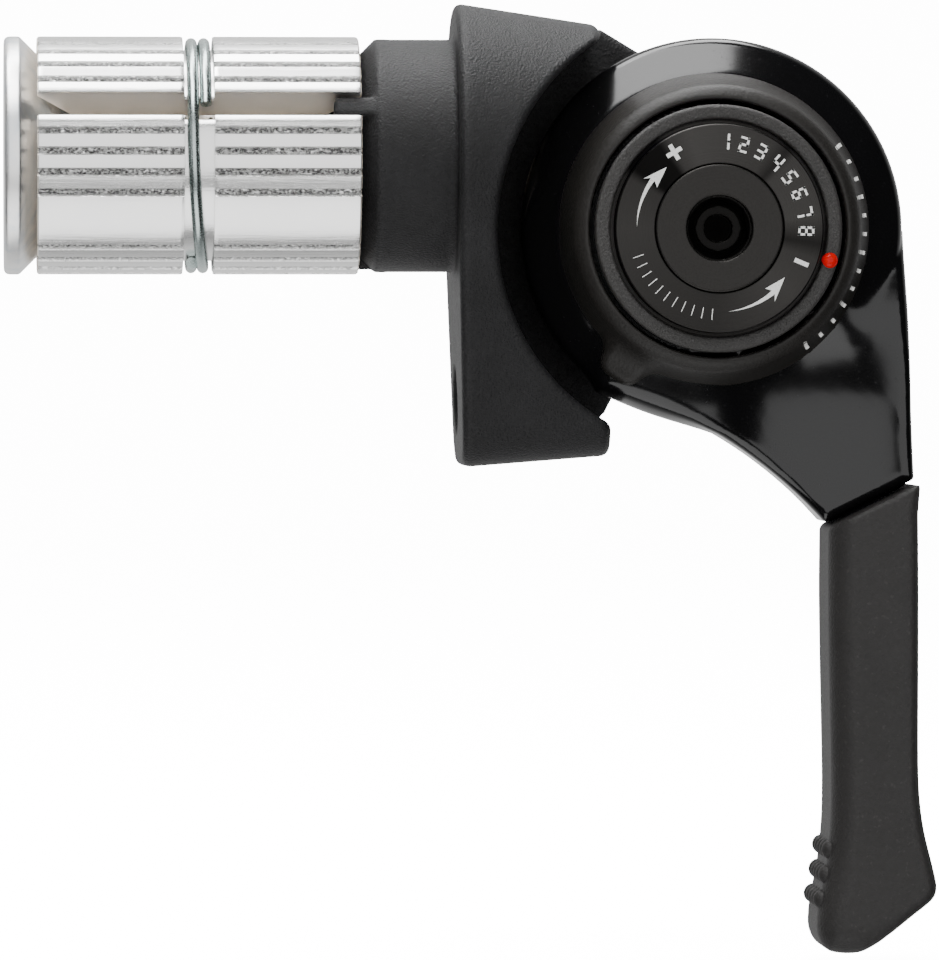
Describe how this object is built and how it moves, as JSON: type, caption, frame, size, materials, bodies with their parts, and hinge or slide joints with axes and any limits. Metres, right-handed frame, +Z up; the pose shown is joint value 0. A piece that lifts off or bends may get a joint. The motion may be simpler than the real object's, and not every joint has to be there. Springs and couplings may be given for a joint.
{
  "type": "bar-end shifter",
  "caption": "Lever shifter whose expanding plug grips inside a handlebar end; a friction stack with an adjusting bolt holds the lever and its cable drum.",
  "frame": {"origin": "on the plug's axis, in the plane of the face that stops against the end of the handlebar", "axes": "-X along the plug into the handlebar, -Y from the lever's pivot out through the dial, +Z up with the lever hanging down"},
  "size_m": [0.072, 0.0234, 0.0733],
  "materials": {
    "cast_black": "matte black paint with a fine grain on a cast body",
    "gloss_black": "high-gloss black",
    "dial_black": "turned and black anodised",
    "ring_black": "finely textured black",
    "pointer_red": "red",
    "bolt_black": "black oxide",
    "grip_rubber": "soft matte dark grey",
    "plug_aluminium": "bright, machined, ribbed",
    "nut_zinc": "satin zinc plate",
    "coil_zinc": "blue passivated zinc wire",
    "bolt_steel": "plain steel thread with a yellow cast",
    "washer_steel": "ground steel",
    "bush_brass": "sintered bronze",
    "friction_fibre": "brown fibre",
    "seal_rubber": "black nitrile",
    "drum_plastic": "dark grey acetal"
  },
  "bodies": {
    "pod": {"pod_body": "cast_black", "rear_nut": "washer_steel", "stop_pin": "washer_steel", "pivot_sleeve": "washer_steel", "lower_friction_washer": "friction_fibre", "dust_seal": "seal_rubber", "pressure_plate": "washer_steel", "expander_washer": "washer_steel"},
    "lever": {"lever": "gloss_black", "boss_ring": "ring_black", "lever_cover": "grip_rubber", "cable_drum": "drum_plastic", "drum_screws": "washer_steel", "pivot_bush": "bush_brass", "upper_friction_washer": "friction_fibre"},
    "dial": {"dial_plate": "dial_black", "pointer_ring": "ring_black", "red_dot": "pointer_red", "spring_washer": "washer_steel"},
    "friction_bolt": {"friction_bolt": "bolt_black"},
    "expander_bolt": {"expander_bolt": "bolt_steel"},
    "cone_nut": {"cone_nut": "nut_zinc"},
    "segment_a": {"plug_segment_a": "plug_aluminium", "retaining_coil": "coil_zinc"},
    "segment_b": {"plug_segment_b": "plug_aluminium"},
    "segment_c": {"plug_segment_c": "plug_aluminium"}
  },
  "joints": [
    {"name": "lever_turn", "type": "hinge", "parent": "pod", "child": "lever", "pos_m": [0.0199, 0, -0.0057], "axis": [0, -1, 0], "range_deg": [0, 100]},
    {"name": "dial_slide", "type": "slide", "parent": "pod", "child": "dial", "axis": [0, -1, 0], "range_m": [0, 0.0006], "deforming": ["spring_washer"]},
    {"name": "friction_bolt_turn", "type": "hinge", "parent": "dial", "child": "friction_bolt", "pos_m": [0.0199, 0, -0.0057], "axis": [0, -1, 0], "range_deg": [0, 270]},
    {"name": "expander_bolt_turn", "type": "hinge", "parent": "pod", "child": "expander_bolt", "pos_m": [0, 0, 0], "axis": [-1, 0, 0], "range_deg": [0, 720]},
    {"name": "nut_slide", "type": "slide", "parent": "pod", "child": "cone_nut", "axis": [1, 0, 0], "range_m": [0, 0.002]},
    {"name": "segment_a_slide", "type": "slide", "parent": "pod", "child": "segment_a", "axis": [0.7071, -0.5792, -0.4056], "range_m": [0, 0.00142], "deforming": ["retaining_coil"]},
    {"name": "segment_b_slide", "type": "slide", "parent": "pod", "child": "segment_b", "axis": [0.7071, -0.0616, 0.7044], "range_m": [0, 0.00142]},
    {"name": "segment_c_slide", "type": "slide", "parent": "pod", "child": "segment_c", "axis": [0.7071, 0.6409, -0.2988], "range_m": [0, 0.00142]}
  ],
  "couplings": [
    {"joint": "friction_bolt_turn", "follows": "dial_slide", "rad_per_m": 7854},
    {"joint": "expander_bolt_turn", "follows": "nut_slide", "rad_per_m": 6283.2},
    {"joint": "segment_a_slide", "follows": "nut_slide", "ratio": 0.70711},
    {"joint": "segment_b_slide", "follows": "nut_slide", "ratio": 0.70711},
    {"joint": "segment_c_slide", "follows": "nut_slide", "ratio": 0.70711}
  ]
}
